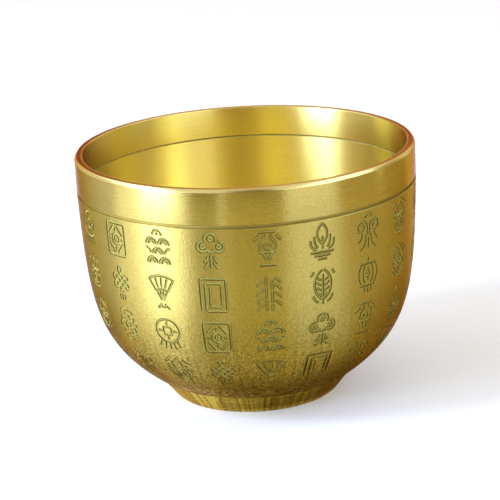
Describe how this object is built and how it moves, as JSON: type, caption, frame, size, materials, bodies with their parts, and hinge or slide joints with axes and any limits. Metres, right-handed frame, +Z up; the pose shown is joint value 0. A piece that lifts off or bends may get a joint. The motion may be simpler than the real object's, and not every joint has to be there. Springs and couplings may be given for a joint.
{
  "type": "bowl",
  "caption": "Small deep turned brass bowl with a grooved rim band, rounded belly and tapered foot ring.",
  "frame": {"origin": "centre of the face that the foot ring rests on", "axes": "+Z up along the bowl's axis; X and Y are level"},
  "size_m": [0.086, 0.086, 0.0642],
  "materials": {
    "body_brass": "satin turned brass with shallow engraved ornament",
    "rim_brass": "fine satin turned brass",
    "foot_brass": "plain turned brass, a little rougher"
  },
  "bodies": {
    "root": {"bowl_body": "body_brass", "rim_band": "rim_brass", "foot_ring": "foot_brass"}
  },
  "joints": []
}
